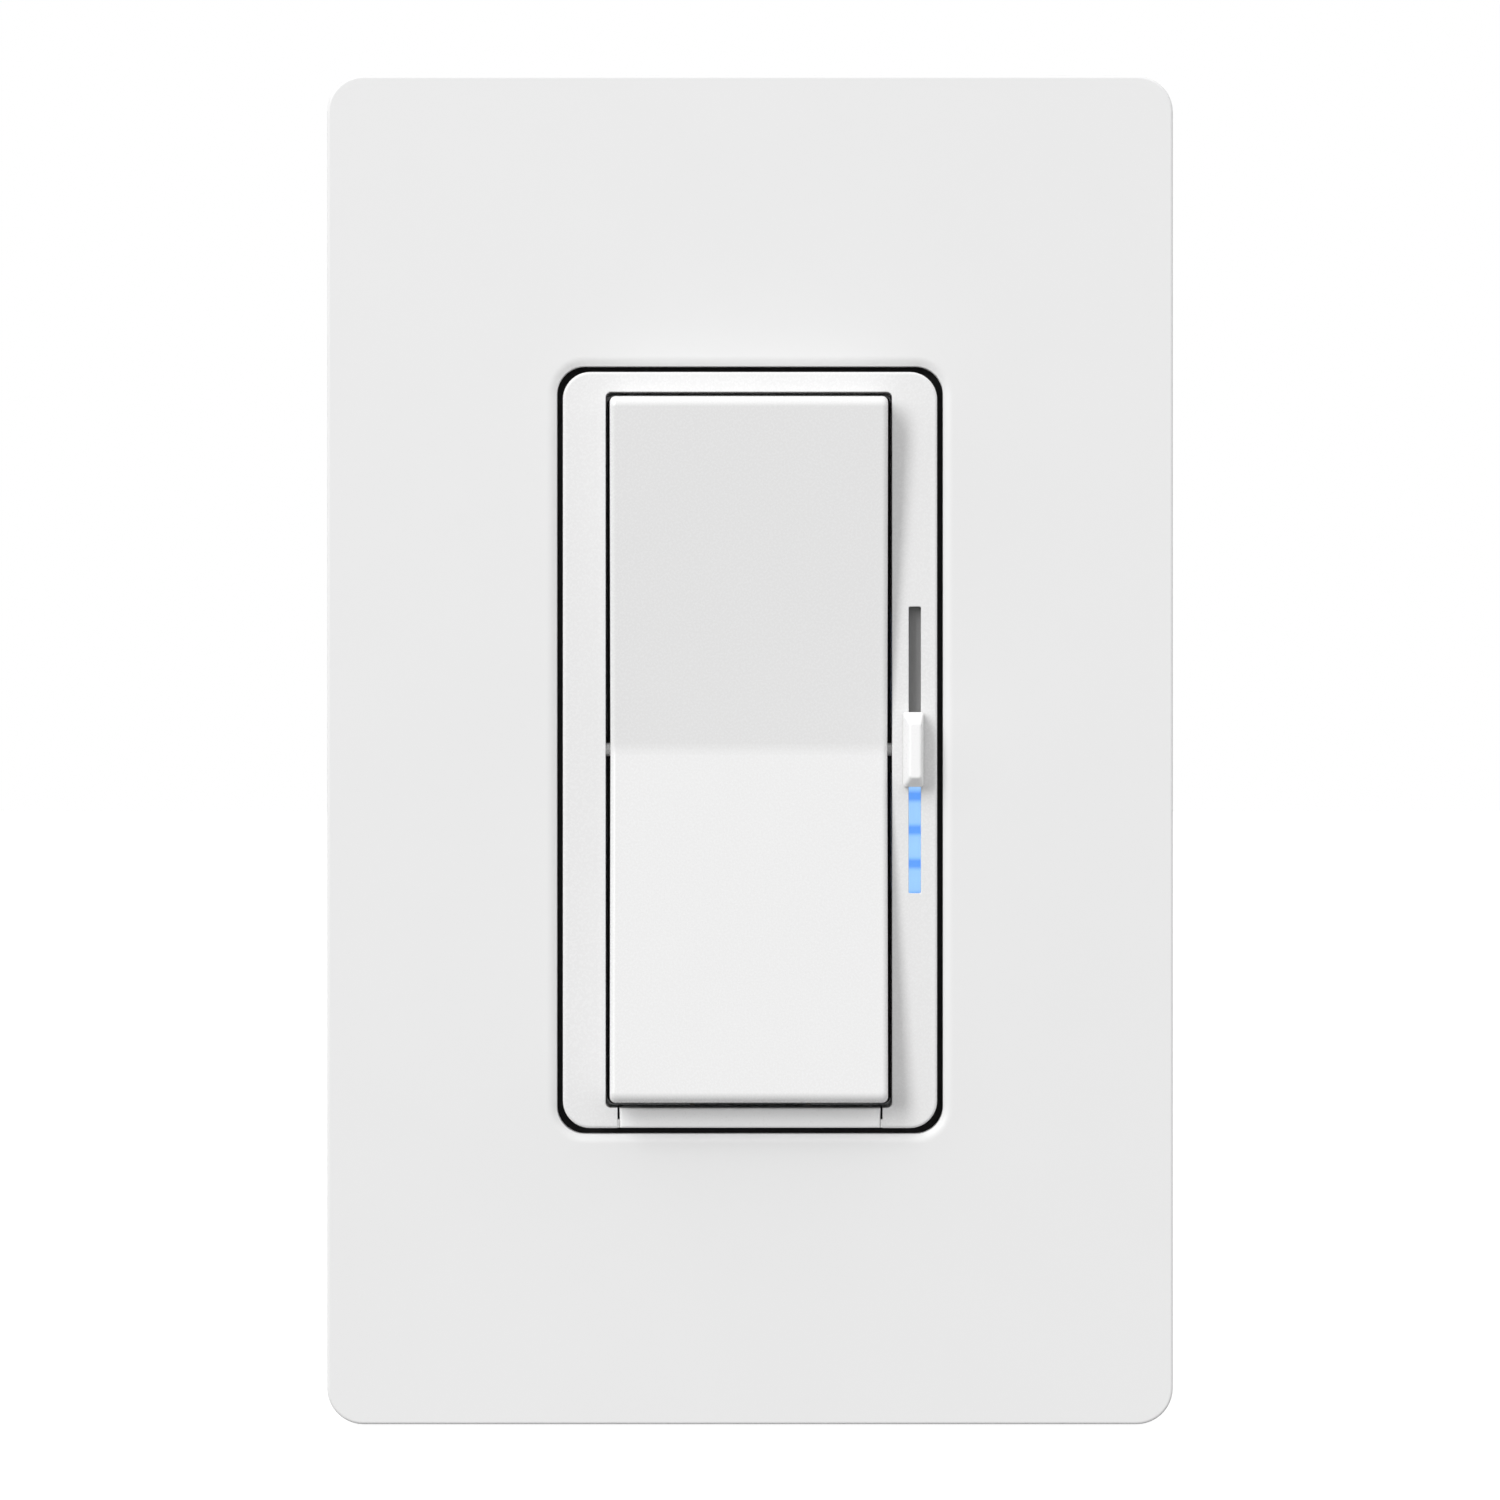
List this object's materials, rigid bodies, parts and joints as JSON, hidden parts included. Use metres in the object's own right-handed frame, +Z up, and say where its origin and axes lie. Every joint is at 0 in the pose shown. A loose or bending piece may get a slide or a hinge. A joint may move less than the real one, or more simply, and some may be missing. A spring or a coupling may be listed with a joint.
{
  "type": "dimmer slide switch",
  "caption": "Screwless wall plate around a rocking paddle with a slim slide control beside it, lit below its knob, a pull-out service tab, and a deep rear housing.",
  "frame": {"origin": "centre of the wall plate, on the plane of the wall, midway between the two device-box screws", "axes": "+X to the right seen from the room, +Z up, +Y into the wall; the face of the switch looks along -Y"},
  "size_m": [0.0746, 0.0421, 0.119],
  "materials": {
    "white_plastic": "satin moulded white",
    "black_plastic": "matte moulded black",
    "grey_plastic": "matte grey",
    "lit_blue": "frosted light guide, lit pale blue",
    "led_blue": "lit indicator",
    "contact_brass": "stamped",
    "screw_brass": "machined",
    "strap_aluminium": "stamped, satin",
    "zinc_steel": "zinc plated",
    "green_steel": "green",
    "housing_plastic": "textured black",
    "board_green": "solder-mask green",
    "track_black": "printed carbon",
    "plunger_plastic": "red moulded",
    "ferrite": "coated powder core",
    "copper_wire": "enamelled copper",
    "film_plastic": "yellow case",
    "capacitor_sleeve": "dark sleeve",
    "varistor_coat": "dipped blue"
  },
  "bodies": {
    "device": {"wall_plate": "white_plastic", "plate_adapter": "black_plastic", "adapter_screws": "zinc_steel", "bezel": "white_plastic", "inner_tray": "black_plastic", "light_pipe": "lit_blue", "indicator_leds": "led_blue", "air_gap_contacts": "contact_brass", "yoke": "strap_aluminium", "box_screws": "zinc_steel", "ground_screw": "green_steel", "rear_housing": "housing_plastic", "housing_screws": "zinc_steel", "terminal_plates": "contact_brass", "terminal_nuts": "contact_brass", "terminal_screws": "screw_brass", "circuit_board": "board_green", "pot_body": "zinc_steel", "pot_track": "track_black", "top_switch": "black_plastic", "bottom_switch": "black_plastic", "power_device": "black_plastic", "device_screw": "zinc_steel", "choke_core": "ferrite", "choke_winding": "copper_wire", "film_capacitor": "film_plastic", "electrolytic_capacitor": "capacitor_sleeve", "varistor": "varistor_coat", "controller_chip": "black_plastic"},
    "paddle": {"paddle": "white_plastic"},
    "top_plunger": {"top_plunger": "plunger_plastic"},
    "bottom_plunger": {"bottom_plunger": "plunger_plastic"},
    "slide_control": {"slider_knob": "white_plastic", "slider_arm": "black_plastic", "slot_shield": "grey_plastic", "pot_carriage": "black_plastic", "pot_wiper": "contact_brass"},
    "service_tab": {"service_tab": "white_plastic", "air_gap_bridge": "contact_brass"}
  },
  "joints": [
    {"name": "paddle_rock", "type": "hinge", "parent": "device", "child": "paddle", "pos_m": [-0.0001, -0.0065, 0.00005], "axis": [-1, 0, 0], "range_deg": [-3, 3], "stiffness_Nm_per_rad": 0.4},
    {"name": "top_press", "type": "slide", "parent": "device", "child": "top_plunger", "axis": [0, 1, 0], "range_m": [-0.00125, 0.00125]},
    {"name": "bottom_press", "type": "slide", "parent": "device", "child": "bottom_plunger", "axis": [0, 1, 0], "range_m": [-0.00125, 0.00125]},
    {"name": "dimmer_slide", "type": "slide", "parent": "device", "child": "slide_control", "axis": [0, 0, 1], "range_m": [-0.0094, 0.0094]},
    {"name": "service_pull", "type": "slide", "parent": "device", "child": "service_tab", "axis": [0, -1, 0], "range_m": [0, 0.003]}
  ],
  "couplings": [
    {"joint": "top_press", "follows": "paddle_rock", "m_per_rad": 0.023},
    {"joint": "bottom_press", "follows": "paddle_rock", "m_per_rad": -0.023}
  ]
}
